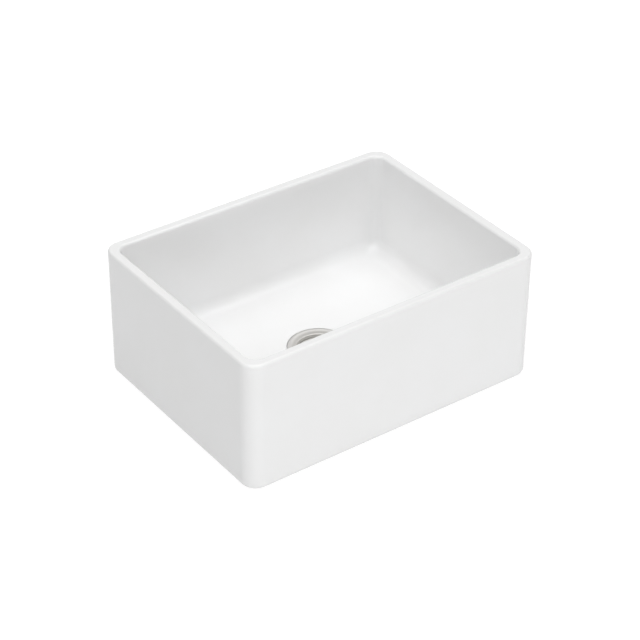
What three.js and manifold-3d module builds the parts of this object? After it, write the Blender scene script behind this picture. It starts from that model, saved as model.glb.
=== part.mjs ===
// A farmhouse (apron-front) kitchen sink in fireclay, with its basket strainer drain.
//
// Millimetres, +Z up, -Y towards the room. The origin is on the underside's front foot, on the centre line,
// where the front rail of the cabinet's support frame bears. The drain's axis is the centre of the sink in
// plan. Each piece is drawn round that axis first, and all are moved back as one group at the end.
//
// The body is one shell of nearly even thickness, as slip-cast fireclay is: four walls, a floor that falls to
// the drain, and a foot that runs round a shallow recess under the floor. The drain clamps on that floor: a
// flanged strainer body from above, a rubber gasket, a friction washer and a locknut from below. A basket
// lifts out of the strainer body, and the knob in the basket slides a post that raises a rubber seal off the
// outlet.

import * as THREE from 'three';
import { mergeVertices } from 'three/addons/utils/BufferGeometryUtils.js';
import Module from 'manifold-3d';

// ------------------------------------------------------------ driving dimensions: the sink body

const SINK_WIDTH = 609.6;
const SINK_DEPTH = 457.2;
const SINK_HEIGHT = 254;
const OUTER_CORNER_RADIUS = 30;
const OUTER_FOOT_RADIUS = 11; // the rounded edge between the outer walls and the foot
const RIM_THICKNESS = 19;
const RIM_OUTER_RADIUS = 5;
const RIM_INNER_RADIUS = 6;
const BOWL_CORNER_RADIUS = 20; // the upright corners inside the bowl
const BOWL_DRAFT = 4; // how far each inner wall leans in between rim and floor
const BOWL_FLOOR_HEIGHT = 50; // the floor's top at the drain, above the foot
const FLOOR_FALL = 3; // how much higher the floor lies where its fillet begins
const FLOOR_FILLET = 26;
const FLOOR_THICKNESS = 20; // at the drain
const FOOT_WIDTH = 40; // from the outer face to the recess under the floor
const FOOT_INNER_RADIUS = 4;
const RECESS_DRAFT = 3;
const RECESS_FILLET = 8;
const RECESS_CORNER_RADIUS = 24;

// ------------------------------------------------------------ driving dimensions: the strainer body

const STRAINER_THREAD_RADIUS = 42.8; // major radius of the 3 3/8 in thread
const DRAIN_HOLE_CLEARANCE = 2.2; // round the thread, so the hole for a 3 1/2 in strainer is 90 mm across
const FLANGE_OVERLAP = 12.15; // from the drain hole to the edge of the 4 1/2 in flange
const FLANGE_EDGE = 1.6; // thickness of the flange
const FLANGE_EDGE_ROUND = 0.8;
const FLANGE_PROUD = 0.6; // how far the flange's crown stands above the bowl floor
const FLANGE_DISH = 2.2; // how far it falls from its crown to the throat
const FLANGE_CROWN_INSET = 3.5;
const FLANGE_REBATE_DEPTH = 3; // the rebate in the floor that takes the flange
const FLANGE_REBATE_CLEARANCE = 1.2;
const THROAT_WALL = 1.6; // between the throat and the thread
const THROAT_ROUND = 4.5;
const THROAT_START = 80; // degrees: the dish runs into the throat's round on this angle
const CUP_SIDE_WALL = 4.2; // between the cup and the thread, below the shoulder that carries the basket
const CUP_FLOOR_WALL = 3;
const CUP_ROUND = 10;
const SHOULDER_FALL = 0.4; // the shoulder falls this much towards the middle, so it drains
const BASKET_SHOULDER_DEPTH = 10; // below the bowl floor
const SEAT_DEPTH = 48; // the outlet's seat, below the bowl floor
const SEAT_WIDTH = 7;
const SEAT_RISE = 2; // from the seat to the cup's floor at the foot of its wall
const TAILPIECE_RADIUS = 19.05; // the 1 1/2 in tube that the neck and its nut are made for
const NECK_BORE_STEP = 0.45; // the neck's bore is this much wider than the tube
const NECK_THREAD_STEP = 4.65; // and its thread's major radius this much
const NECK_FLARE = 2; // the fillet between the neck and the cup's underside
const NECK_LENGTH = 25; // from the seat to the neck's end
const STAR_HUB_WALL = 3.4;
const STAR_ARM_WIDTH = 3.2;
const STAR_THICKNESS = 3.5;
const STAR_ARMS = 5;
const STAR_DROP = 3.5; // the star's top, below the seat

// ------------------------------------------------------------ driving dimensions: what clamps the strainer

const FLANGE_SEAL_THICKNESS = 1.2; // at its inner edge
const FLANGE_SEAL_WIDTH = 7;
const GASKET_OVERLAP = 10; // from the drain hole to the gasket's edge
const GASKET_THICKNESS = 3.5;
const FRICTION_WASHER_INSET = 2; // from the gasket's edge
const FRICTION_WASHER_THICKNESS = 0.8;
const LOCKNUT_RING_WIDTH = 9.2; // from the thread to the outside of the ring
const LOCKNUT_HEIGHT = 8;
const LOCKNUT_CHAMFER = 1.5;
const LOCKNUT_LUGS = 4;
const LOCKNUT_LUG_REACH = 6;
const LOCKNUT_LUG_WIDTH = 13;
const LOCKNUT_LUG_DROP = 4; // the lugs reach this far below the ring
const LOCKNUT_LUG_INSET = 1; // they start this far below the ring's top
const LOCKNUT_LUG_ROOT = 2; // and this far outside its bore
const TAIL_WASHER_THICKNESS = 2;
const COUPLING_WALL = 3; // at the middle of a flat
const COUPLING_LIP = 2.7;
const COUPLING_GRIP = 18; // how far the nut reaches up the neck's thread
const COUPLING_CHAMFER = 2.5;

// ------------------------------------------------------------ driving dimensions: the basket and stopper

const BASKET_SHEET = 0.9;
const BASKET_RIM_CLEARANCE = 0.7; // from the rim to the throat
const BASKET_SIDE_CLEARANCE = 1.7; // from the mouth to the cup's wall
const BASKET_TAPER = 3.9; // how much narrower the floor is than the mouth
const BASKET_ROUND = 5;
const BASKET_WALL_START = 350; // degrees: the floor's round runs into the leaning wall on this angle
const BASKET_DEPTH = 19; // from the rim's underside to the floor's underside
const BASKET_HOLE_RADIUS = 1.6;
const BASKET_ROW_INSET = 7; // the outermost row of holes, from the floor's edge
const BASKET_ROW_PITCH = 6;
const BASKET_HOLE_SPACING = 8.1; // along a row, at least
const BASKET_SIDE_HOLE_HEIGHT = 10.5; // above the floor
const BASKET_SIDE_HOLE_SPACING = 11.5;
const POST_RADIUS = 3.5;
const POST_SHOULDER = 0.7; // the tail is this much thinner than the shank
const POST_COLLAR_REACH = 2.5; // the collar is this much thicker
const POST_COLLAR_HEIGHT = 1.8;
const POST_TIP_REACH = 8; // the tip, below the seal
const POST_TIP_TAPER = 1.4;
const POST_SOCKET_COVER = 4; // from the post's top to the knob's
const O_RING_SECTION = 1.6;
const BUSH_WALL = 0.7; // round the friction ring's groove
const BUSH_COLLAR_REACH = 3.5;
const BUSH_COLLAR_HEIGHT = 2.4;
const BUSH_CHAMFER = 1;
const SEAL_MARGIN = 1.5; // from the seal's edge to the edge of its seat
const SEAL_EDGE = 2.4;
const SEAL_CROWN = 4.4;
const SEAL_CHAMFER = 0.8;
const SEAL_WASHER_RADIUS = 13;
const SEAL_WASHER_THICKNESS = 1;
const POST_NUT_WALL = 1.9; // at the middle of a flat
const POST_NUT_HEIGHT = 2.9;
const KNOB_RADIUS = 11;
const KNOB_HEIGHT = 11;
const KNOB_SINK = 3.5; // the knob's top, below the bowl floor when the drain is shut
const KNOB_CAP_HEIGHT = 5;
const KNOB_TOP_ROUND = 3;
const KNOB_EDGE_ROUND = 1.5;
const KNOB_STEM_WALL = 1.9;
const KNOB_STEM_CHAMFER = 0.8;
const KNOB_NECK_ROUND = 2.5;

// ------------------------------------------------------------ clearances

const FACE_GAP = 0.1; // between flat faces that bear on each other
const SEAT_GAP = 0.25; // between turned faces that bear on each other
const THREAD_GAP = 0.3; // round a male thread
const RUNNING_GAP = 0.3; // round a piece that slides
const STAR_GAP = 0.8; // round the post's tail in the star
const CUTTER_REACH = 1; // a cutter runs this far past the faces it opens

// ------------------------------------------------------------ how finely round shapes are cut

const CORNER_POINTS = 10; // on each corner of a rounded rectangle, so a circle in the loft has 40
const EDGE_STEPS = 3;
const FILLET_STEPS = 6;
const TURNED_SEGMENTS = 36;
const SMALL_SEGMENTS = 20;
const HOLE_SIDES = 6;
const HALF_PI = Math.PI / 2;
const PATTERN_START = HALF_PI; // patterns start on +Y, so that the left half mirrors the right

// ------------------------------------------------------------ radii worked out from the dimensions

const drainHoleRadius = STRAINER_THREAD_RADIUS + DRAIN_HOLE_CLEARANCE;
const flangeRadius = drainHoleRadius + FLANGE_OVERLAP;
const crownRadius = flangeRadius - FLANGE_CROWN_INSET;
const rebateRadius = flangeRadius + FLANGE_REBATE_CLEARANCE;
const throatRadius = STRAINER_THREAD_RADIUS - THROAT_WALL;
const cupRadius = STRAINER_THREAD_RADIUS - CUP_SIDE_WALL;
const neckBoreRadius = TAILPIECE_RADIUS + NECK_BORE_STEP;
const neckThreadRadius = TAILPIECE_RADIUS + NECK_THREAD_STEP;
const seatRadius = neckBoreRadius + SEAT_WIDTH;
const threadHole = STRAINER_THREAD_RADIUS + THREAD_GAP; // in what the strainer's thread passes through
const gasketRadius = drainHoleRadius + GASKET_OVERLAP;
const tailHole = TAILPIECE_RADIUS + THREAD_GAP; // in what the tailpiece passes through
const basketRimRadius = throatRadius - BASKET_RIM_CLEARANCE;
const basketMouthRadius = cupRadius - BASKET_SIDE_CLEARANCE;
const basketFloorRadius = basketMouthRadius - BASKET_TAPER;
const postTailRadius = POST_RADIUS - POST_SHOULDER;
const tailFit = postTailRadius + FACE_GAP; // the hole in what is clamped on the tail
const starBoreRadius = postTailRadius + STAR_GAP;
const grooveRadius = POST_RADIUS + O_RING_SECTION + 2 * FACE_GAP;
const bushWaistRadius = grooveRadius + BUSH_WALL;
const bushCollarRadius = bushWaistRadius + BUSH_COLLAR_REACH;
const sealRadius = seatRadius - SEAL_MARGIN;

// ------------------------------------------------------------ heights worked out from the dimensions

const recessHeight = BOWL_FLOOR_HEIGHT - FLOOR_THICKNESS;
const rebateHeight = BOWL_FLOOR_HEIGHT - FLANGE_REBATE_DEPTH;
const flangeTop = BOWL_FLOOR_HEIGHT + FLANGE_PROUD;
const flangeUnderside = flangeTop - FLANGE_DISH - FLANGE_EDGE;
const shoulderHeight = BOWL_FLOOR_HEIGHT - BASKET_SHOULDER_DEPTH;
const seatHeight = BOWL_FLOOR_HEIGHT - SEAT_DEPTH;
const neckEnd = seatHeight - NECK_LENGTH;
const gasketTop = recessHeight - FACE_GAP;
const frictionWasherTop = gasketTop - GASKET_THICKNESS - FACE_GAP;
const locknutTop = frictionWasherTop - FRICTION_WASHER_THICKNESS - FACE_GAP;
const tailWasherTop = neckEnd - FACE_GAP;
const couplingLipTop = tailWasherTop - TAIL_WASHER_THICKNESS - FACE_GAP;
const basketRimUnderside = shoulderHeight + SEAT_GAP;
const basketFloorUnderside = basketRimUnderside - BASKET_DEPTH;
const basketFloorTop = basketFloorUnderside + BASKET_SHEET;
const sealUnderside = seatHeight + SEAT_GAP;
const sealWasherUnderside = sealUnderside + SEAL_CROWN + FACE_GAP;
const postCollarUnderside = sealWasherUnderside + SEAL_WASHER_THICKNESS + FACE_GAP;
const knobTop = BOWL_FLOOR_HEIGHT - KNOB_SINK;
const knobUnderside = knobTop - KNOB_HEIGHT;

const wasm = await Module();
wasm.setup();

// ------------------------------------------------------------ shape helpers

// Points on an arc in the (radius, height) half plane. Angles are in degrees, anticlockwise from +radius.
function arc(centreRadius, centreHeight, radius, from, to, steps = EDGE_STEPS) {
  const points = [];
  for (let i = 0; i <= steps; i += 1) {
    const angle = THREE.MathUtils.degToRad(from + ((to - from) * i) / steps);
    points.push([centreRadius + radius * Math.cos(angle), centreHeight + radius * Math.sin(angle)]);
  }
  return points;
}

// A solid of revolution about Z from a closed profile of [radius, height], listed anticlockwise.
function revolve(profile, segments = TURNED_SEGMENTS) {
  const points = profile.map(([radius, height]) => new THREE.Vector2(radius, height));
  if (profile[0][0] > 0) points.push(points[0].clone());
  return new THREE.LatheGeometry(points, segments).rotateX(HALF_PI);
}

// A hexagon's corner radius, from half its width across flats.
function hexagonCorner(flatRadius) {
  return (2 * flatRadius) / Math.sqrt(3);
}

// A flat ring about Z.
function ring(innerRadius, outerRadius, bottom, top, segments = TURNED_SEGMENTS) {
  const profile = [[innerRadius, bottom], [outerRadius, bottom], [outerRadius, top], [innerRadius, top]];
  return revolve(profile, segments);
}

// An upright prism with a regular outline, standing on bottom.
function prism(radius, bottom, top, sides) {
  const shape = new THREE.CylinderGeometry(radius, radius, top - bottom, sides);
  return shape.rotateX(HALF_PI).translate(0, 0, (top + bottom) / 2);
}

// A geometry as a manifold-3d solid, and back again.
function solid(geometry) {
  const bare = geometry.clone();
  bare.deleteAttribute('normal');
  bare.deleteAttribute('uv');
  const merged = mergeVertices(bare);
  return new wasm.Manifold(
    new wasm.Mesh({
      numProp: 3,
      vertProperties: merged.attributes.position.array,
      triVerts: new Uint32Array(merged.index.array),
    }),
  );
}

function geometryOf(body) {
  const { vertProperties, triVerts } = body.getMesh();
  return new THREE.BufferGeometry()
    .setAttribute('position', new THREE.BufferAttribute(vertProperties, 3))
    .setIndex(new THREE.BufferAttribute(triVerts, 1));
}

// A rounded rectangle about the drain's axis, as a loop of points anticlockwise from +X.
function roundedRectangle(width, depth, radius, height) {
  const points = [];
  for (let corner = 0; corner < 4; corner += 1) {
    const sideX = corner === 0 || corner === 3 ? 1 : -1;
    const sideY = corner < 2 ? 1 : -1;
    for (let i = 0; i < CORNER_POINTS; i += 1) {
      const angle = HALF_PI * (corner + i / (CORNER_POINTS - 1));
      points.push([
        sideX * (width / 2 - radius) + radius * Math.cos(angle),
        sideY * (depth / 2 - radius) + radius * Math.sin(angle),
        height,
      ]);
    }
  }
  return points;
}

// A circle with as many points as a rounded rectangle has, so the two can be lofted.
function circle(radius, height) {
  const count = 4 * CORNER_POINTS;
  return Array.from({ length: count }, (_, i) => {
    const angle = (2 * Math.PI * (i + 0.5)) / count;
    return [radius * Math.cos(angle), radius * Math.sin(angle), height];
  });
}

// The surface through a list of loops, where the last loop joins the first: a solid with one hole through it.
function loft(loops) {
  const count = loops[0].length;
  const triangles = [];
  loops.forEach((loop, l) => {
    const here = l * count;
    const next = ((l + 1) % loops.length) * count;
    for (let i = 0; i < count; i += 1) {
      const j = (i + 1) % count;
      triangles.push(here + i, next + i, next + j, here + i, next + j, here + j);
    }
  });
  return new THREE.BufferGeometry()
    .setAttribute('position', new THREE.Float32BufferAttribute(loops.flat(2), 3))
    .setIndex(triangles);
}

// ------------------------------------------------------------ the sink body

// Every loop is the outer plan moved in by inset, so the profile below reads as [inset, height].
function sinkLoop([inset, height], cornerRadius) {
  return roundedRectangle(SINK_WIDTH - 2 * inset, SINK_DEPTH - 2 * inset, cornerRadius, height);
}

function sinkBody() {
  const outerLoop = (point) => sinkLoop(point, OUTER_CORNER_RADIUS - point[0]);
  const innerLoop = (point) => sinkLoop(point, BOWL_CORNER_RADIUS + Math.max(0, RIM_THICKNESS - point[0]));
  const recessLoop = (point) => sinkLoop(point, RECESS_CORNER_RADIUS);

  const wallFoot = RIM_THICKNESS + BOWL_DRAFT;
  const filletHeight = BOWL_FLOOR_HEIGHT + FLOOR_FALL;
  const recessWall = FOOT_WIDTH + FOOT_INNER_RADIUS;

  const floorFillet = arc(
    wallFoot + FLOOR_FILLET, filletHeight + FLOOR_FILLET, FLOOR_FILLET, 270, 180, FILLET_STEPS,
  );
  const rimInner = arc(
    RIM_THICKNESS - RIM_INNER_RADIUS, SINK_HEIGHT - RIM_INNER_RADIUS, RIM_INNER_RADIUS, 0, 90,
  );
  const rimOuter = arc(RIM_OUTER_RADIUS, SINK_HEIGHT - RIM_OUTER_RADIUS, RIM_OUTER_RADIUS, 90, 180);
  const footOuter = arc(OUTER_FOOT_RADIUS, OUTER_FOOT_RADIUS, OUTER_FOOT_RADIUS, 180, 270);
  const footInner = arc(FOOT_WIDTH, FOOT_INNER_RADIUS, FOOT_INNER_RADIUS, 270, 360);
  const recessFillet = arc(
    recessWall + RECESS_DRAFT + RECESS_FILLET, recessHeight - RECESS_FILLET, RECESS_FILLET, 180, 90,
  );

  return loft([
    circle(rebateRadius, BOWL_FLOOR_HEIGHT),
    ...floorFillet.map(innerLoop),
    ...rimInner.map(innerLoop),
    ...rimOuter.map(outerLoop),
    ...footOuter.map(outerLoop),
    ...footInner.map(recessLoop),
    ...recessFillet.map(recessLoop),
    circle(drainHoleRadius, recessHeight),
    circle(drainHoleRadius, rebateHeight),
    circle(rebateRadius, rebateHeight),
  ]);
}

// ------------------------------------------------------------ the strainer body and what clamps it

function strainerBody() {
  const throatTop = flangeTop - FLANGE_DISH;
  const cupFloor = seatHeight + SEAT_RISE;
  const cupUnderside = cupFloor - CUP_FLOOR_WALL;
  const outerRound = CUP_ROUND + CUP_SIDE_WALL - CUP_FLOOR_WALL / 2;
  const shell = revolve([
    [neckBoreRadius, neckEnd],
    [neckThreadRadius, neckEnd],
    [neckThreadRadius, cupUnderside - NECK_FLARE],
    [neckThreadRadius + NECK_FLARE, cupUnderside],
    ...arc(
      STRAINER_THREAD_RADIUS - outerRound, cupUnderside + outerRound, outerRound, 270, 360, FILLET_STEPS,
    ),
    [STRAINER_THREAD_RADIUS, flangeUnderside],
    [crownRadius, flangeTop - FLANGE_EDGE],
    [flangeRadius, flangeTop - FLANGE_EDGE],
    ...arc(flangeRadius - FLANGE_EDGE_ROUND, flangeTop - FLANGE_EDGE_ROUND, FLANGE_EDGE_ROUND, 0, 90),
    [crownRadius, flangeTop],
    ...arc(throatRadius + THROAT_ROUND, throatTop - THROAT_ROUND, THROAT_ROUND, THROAT_START, 180),
    [throatRadius, shoulderHeight],
    [cupRadius, shoulderHeight - SHOULDER_FALL],
    ...arc(cupRadius - CUP_ROUND, cupFloor + CUP_ROUND, CUP_ROUND, 360, 270, FILLET_STEPS),
    [seatRadius, seatHeight],
    [neckBoreRadius, seatHeight],
  ]);
  let body = solid(shell);
  const starTop = seatHeight - STAR_DROP;
  const starBottom = starTop - STAR_THICKNESS;
  for (let i = 0; i < STAR_ARMS; i += 1) {
    const reach = neckBoreRadius + CUTTER_REACH;
    const arm = new THREE.BoxGeometry(reach, STAR_ARM_WIDTH, STAR_THICKNESS)
      .translate(reach / 2, 0, (starTop + starBottom) / 2)
      .rotateZ(PATTERN_START + (2 * Math.PI * i) / STAR_ARMS);
    body = body.add(solid(arm));
  }
  body = body.add(solid(prism(starBoreRadius + STAR_HUB_WALL, starBottom, starTop, SMALL_SEGMENTS)));
  const drillBottom = starBottom - CUTTER_REACH;
  const drill = prism(starBoreRadius, drillBottom, starTop + CUTTER_REACH, SMALL_SEGMENTS);
  return geometryOf(body.subtract(solid(drill)));
}

// The soft ring between the flange and the rebate in the floor. Its top follows the dish of the flange.
function flangeSeal() {
  const outer = crownRadius;
  const inner = outer - FLANGE_SEAL_WIDTH;
  const slope = (FLANGE_DISH * FLANGE_SEAL_WIDTH) / (outer - STRAINER_THREAD_RADIUS);
  const top = flangeTop - FLANGE_EDGE - SEAT_GAP;
  const bottom = rebateHeight + FACE_GAP;
  const height = Math.min(FLANGE_SEAL_THICKNESS + slope, top - bottom);
  const innerTop = bottom + height - slope;
  return revolve([[inner, bottom], [outer, bottom], [outer, bottom + height], [inner, innerTop]]);
}

function sinkGasket() {
  return ring(threadHole, gasketRadius, gasketTop - GASKET_THICKNESS, gasketTop);
}

function frictionWasher() {
  const bottom = frictionWasherTop - FRICTION_WASHER_THICKNESS;
  return ring(threadHole, gasketRadius - FRICTION_WASHER_INSET, bottom, frictionWasherTop);
}

function locknut() {
  const bottom = locknutTop - LOCKNUT_HEIGHT;
  const ringRadius = STRAINER_THREAD_RADIUS + LOCKNUT_RING_WIDTH;
  let nut = solid(
    revolve([
      [threadHole, bottom],
      [ringRadius - LOCKNUT_CHAMFER, bottom],
      [ringRadius, bottom + LOCKNUT_CHAMFER],
      [ringRadius, locknutTop],
      [threadHole, locknutTop],
    ]),
  );
  const lugOuter = ringRadius + LOCKNUT_LUG_REACH;
  const lugInner = threadHole + LOCKNUT_LUG_ROOT;
  const lugTop = locknutTop - LOCKNUT_LUG_INSET;
  const lugHeight = LOCKNUT_HEIGHT + LOCKNUT_LUG_DROP - LOCKNUT_LUG_INSET;
  for (let i = 0; i < LOCKNUT_LUGS; i += 1) {
    const lug = new THREE.BoxGeometry(lugOuter - lugInner, LOCKNUT_LUG_WIDTH, lugHeight)
      .translate((lugOuter + lugInner) / 2, 0, lugTop - lugHeight / 2)
      .rotateZ((2 * Math.PI * (i + 0.5)) / LOCKNUT_LUGS);
    nut = nut.add(solid(lug));
  }
  return geometryOf(nut);
}

function tailpieceWasher() {
  return ring(tailHole, neckThreadRadius, tailWasherTop - TAIL_WASHER_THICKNESS, tailWasherTop);
}

function couplingNut() {
  const top = neckEnd + COUPLING_GRIP;
  const bottom = couplingLipTop - COUPLING_LIP;
  const threadBore = neckThreadRadius + THREAD_GAP;
  const flatRadius = threadBore + COUPLING_WALL;
  const cornerRadius = hexagonCorner(flatRadius);
  const hexagon = solid(prism(cornerRadius, bottom, top, 6));
  const chamfers = solid(
    revolve([
      [0, bottom],
      [flatRadius, bottom],
      [cornerRadius + CUTTER_REACH, bottom + COUPLING_CHAMFER],
      [cornerRadius + CUTTER_REACH, top - COUPLING_CHAMFER],
      [flatRadius, top],
      [0, top],
    ]),
  );
  const bore = solid(
    revolve([
      [0, bottom - CUTTER_REACH],
      [tailHole, bottom - CUTTER_REACH],
      [tailHole, couplingLipTop],
      [threadBore, couplingLipTop],
      [threadBore, top + CUTTER_REACH],
      [0, top + CUTTER_REACH],
    ]),
  );
  return geometryOf(hexagon.intersect(chamfers).subtract(bore));
}

// ------------------------------------------------------------ the basket

function basketCup() {
  const rimTop = basketRimUnderside + BASKET_SHEET;
  const outerRound = BASKET_ROUND + BASKET_SHEET;
  const roundHeight = basketFloorUnderside + outerRound;
  const boreRadius = bushWaistRadius + RUNNING_GAP;
  let cup = solid(
    revolve([
      [boreRadius, basketFloorUnderside],
      ...arc(basketFloorRadius - outerRound, roundHeight, outerRound, 270, BASKET_WALL_START),
      [basketMouthRadius, basketRimUnderside],
      [basketRimRadius, basketRimUnderside],
      [basketRimRadius, rimTop],
      [basketMouthRadius - BASKET_SHEET, rimTop],
      ...arc(basketFloorRadius - outerRound, roundHeight, BASKET_ROUND, BASKET_WALL_START, 270),
      [boreRadius, basketFloorTop],
    ]),
  );
  const drill = (geometry) => {
    cup = cup.subtract(solid(geometry));
  };
  const outerRow = basketFloorRadius - BASKET_ROW_INSET;
  const innermost = bushCollarRadius + 2 * BASKET_HOLE_RADIUS;
  for (let radius = outerRow; radius > innermost; radius -= BASKET_ROW_PITCH) {
    const count = Math.floor((2 * Math.PI * radius) / BASKET_HOLE_SPACING);
    for (let i = 0; i < count; i += 1) {
      const angle = PATTERN_START + (2 * Math.PI * i) / count;
      const bottom = basketFloorUnderside - CUTTER_REACH;
      const hole = prism(BASKET_HOLE_RADIUS, bottom, basketFloorTop + CUTTER_REACH, HOLE_SIDES);
      drill(hole.translate(radius * Math.cos(angle), radius * Math.sin(angle), 0));
    }
  }
  const sideCount = 2 * Math.floor((Math.PI * basketMouthRadius) / BASKET_SIDE_HOLE_SPACING);
  const sideHeight = basketFloorTop + BASKET_SIDE_HOLE_HEIGHT;
  for (let i = 0; i < sideCount; i += 1) {
    const inner = basketFloorRadius - BASKET_ROUND;
    const hole = prism(BASKET_HOLE_RADIUS, inner, basketMouthRadius + CUTTER_REACH, HOLE_SIDES)
      .rotateY(HALF_PI)
      .rotateZ((2 * Math.PI * (i + 0.5)) / sideCount);
    drill(hole.translate(0, 0, sideHeight));
  }
  return geometryOf(cup);
}

// A spool closed over the hole in the basket's floor. It guides the post and holds the friction ring.
function guideBush() {
  const bore = POST_RADIUS + RUNNING_GAP;
  const grooveHalf = O_RING_SECTION / 2 + FACE_GAP;
  const middle = (basketFloorUnderside + basketFloorTop) / 2;
  const lowerTop = basketFloorUnderside - FACE_GAP;
  const upperBottom = basketFloorTop + FACE_GAP;
  return revolve([
    [bore, lowerTop - BUSH_COLLAR_HEIGHT],
    [bushCollarRadius - BUSH_CHAMFER, lowerTop - BUSH_COLLAR_HEIGHT],
    [bushCollarRadius, lowerTop - BUSH_COLLAR_HEIGHT + BUSH_CHAMFER],
    [bushCollarRadius, lowerTop],
    [bushWaistRadius, lowerTop],
    [bushWaistRadius, upperBottom],
    [bushCollarRadius, upperBottom],
    [bushCollarRadius, upperBottom + BUSH_COLLAR_HEIGHT - BUSH_CHAMFER],
    [bushCollarRadius - BUSH_CHAMFER, upperBottom + BUSH_COLLAR_HEIGHT],
    [bore, upperBottom + BUSH_COLLAR_HEIGHT],
    [bore, middle + grooveHalf],
    [grooveRadius, middle + grooveHalf],
    [grooveRadius, middle - grooveHalf],
    [bore, middle - grooveHalf],
  ], SMALL_SEGMENTS);
}

function frictionRing() {
  const middle = (basketFloorUnderside + basketFloorTop) / 2;
  const section = O_RING_SECTION / 2;
  const torus = new THREE.TorusGeometry(POST_RADIUS + FACE_GAP + section, section, 8, SMALL_SEGMENTS);
  return torus.translate(0, 0, middle);
}

// ------------------------------------------------------------ the stopper that slides in the basket

function stopperPost() {
  const shankTop = knobTop - POST_SOCKET_COVER;
  const tip = sealUnderside - POST_TIP_REACH;
  return revolve([
    [0, tip],
    [postTailRadius - POST_TIP_TAPER, tip],
    [postTailRadius, tip + POST_TIP_TAPER],
    [postTailRadius, postCollarUnderside],
    [POST_RADIUS + POST_COLLAR_REACH, postCollarUnderside],
    [POST_RADIUS + POST_COLLAR_REACH, postCollarUnderside + POST_COLLAR_HEIGHT],
    [POST_RADIUS, postCollarUnderside + POST_COLLAR_HEIGHT],
    [POST_RADIUS, shankTop],
    [0, shankTop],
  ], SMALL_SEGMENTS);
}

// A rubber disc, thick at the middle, whose rim shuts the outlet.
function stopperSeal() {
  return revolve([
    [tailFit, sealUnderside],
    [sealRadius - SEAL_CHAMFER, sealUnderside],
    [sealRadius, sealUnderside + SEAL_CHAMFER],
    [sealRadius - SEAL_CHAMFER, sealUnderside + SEAL_EDGE],
    [SEAL_WASHER_RADIUS + SEAL_CHAMFER, sealUnderside + SEAL_CROWN],
    [tailFit, sealUnderside + SEAL_CROWN],
  ]);
}

function sealWasher() {
  const top = sealWasherUnderside + SEAL_WASHER_THICKNESS;
  return ring(tailFit, SEAL_WASHER_RADIUS, sealWasherUnderside, top);
}

function postNut() {
  const top = sealUnderside - FACE_GAP;
  const hole = postTailRadius + THREAD_GAP;
  const hexagon = solid(prism(hexagonCorner(hole + POST_NUT_WALL), top - POST_NUT_HEIGHT, top, 6));
  const drillBottom = top - POST_NUT_HEIGHT - CUTTER_REACH;
  const drill = prism(hole, drillBottom, top + CUTTER_REACH, SMALL_SEGMENTS);
  return geometryOf(hexagon.subtract(solid(drill)));
}

// A turned knob with a stem, hollow from below to take the top of the post.
function stopperKnob() {
  const socketTop = knobTop - POST_SOCKET_COVER + SEAT_GAP;
  const socketRadius = POST_RADIUS + FACE_GAP;
  const stemRadius = socketRadius + KNOB_STEM_WALL;
  const capBottom = knobTop - KNOB_CAP_HEIGHT;
  const neckTop = capBottom - KNOB_NECK_ROUND;
  return revolve([
    [socketRadius, knobUnderside],
    [stemRadius - KNOB_STEM_CHAMFER, knobUnderside],
    [stemRadius, knobUnderside + KNOB_STEM_CHAMFER],
    ...arc(stemRadius + KNOB_NECK_ROUND, neckTop, KNOB_NECK_ROUND, 180, 90),
    ...arc(KNOB_RADIUS - KNOB_EDGE_ROUND, capBottom + KNOB_EDGE_ROUND, KNOB_EDGE_ROUND, 270, 360),
    ...arc(KNOB_RADIUS - KNOB_TOP_ROUND, knobTop - KNOB_TOP_ROUND, KNOB_TOP_ROUND, 0, 90),
    [0, knobTop],
    [0, socketTop],
    [socketRadius, socketTop],
  ], SMALL_SEGMENTS);
}

// ------------------------------------------------------------ finishes

const finishes = {
  glaze: { color: 0xf4f4f2, roughness: 0.08, metalness: 0 },
  steel: { color: 0xb9bab8, roughness: 0.28, metalness: 1 },
  polishedSteel: { color: 0xc9cac9, roughness: 0.12, metalness: 1 },
  castZinc: { color: 0x9c9d9a, roughness: 0.5, metalness: 1 },
  brass: { color: 0xb5a36b, roughness: 0.35, metalness: 1 },
  rubber: { color: 0x232323, roughness: 0.8, metalness: 0 },
  foam: { color: 0xd8d5cc, roughness: 0.9, metalness: 0 },
  fibre: { color: 0xa98f66, roughness: 0.9, metalness: 0 },
  nylon: { color: 0xe6e4dc, roughness: 0.55, metalness: 0 },
};

function piece(name, geometry, finish) {
  const mesh = new THREE.Mesh(geometry, new THREE.MeshStandardMaterial(finish));
  mesh.name = name;
  return mesh;
}

// ------------------------------------------------------------ the assembly

const drainAssembly = new THREE.Group().add(
  piece('strainer_body', strainerBody(), finishes.steel),
  piece('flange_seal', flangeSeal(), finishes.foam),
  piece('sink_gasket', sinkGasket(), finishes.rubber),
  piece('friction_washer', frictionWasher(), finishes.fibre),
  piece('locknut', locknut(), finishes.castZinc),
  piece('tailpiece_washer', tailpieceWasher(), finishes.nylon),
  piece('coupling_nut', couplingNut(), finishes.brass),
);

const basket = new THREE.Group().add(
  piece('basket_cup', basketCup(), finishes.steel),
  piece('guide_bush', guideBush(), finishes.nylon),
  piece('friction_ring', frictionRing(), finishes.rubber),
);

const stopper = new THREE.Group().add(
  piece('stopper_post', stopperPost(), finishes.steel),
  piece('stopper_knob', stopperKnob(), finishes.polishedSteel),
  piece('stopper_seal', stopperSeal(), finishes.rubber),
  piece('seal_washer', sealWasher(), finishes.steel),
  piece('post_nut', postNut(), finishes.brass),
);

const sink = new THREE.Group().add(
  piece('sink_body', sinkBody(), finishes.glaze),
  drainAssembly,
  basket,
  stopper,
);

// The front rail bears on the middle of the flat part of the foot.
const frontRailInset = (OUTER_FOOT_RADIUS + FOOT_WIDTH) / 2;
sink.position.y = SINK_DEPTH / 2 - frontRailInset;

export default sink;
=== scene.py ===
import math

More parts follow.
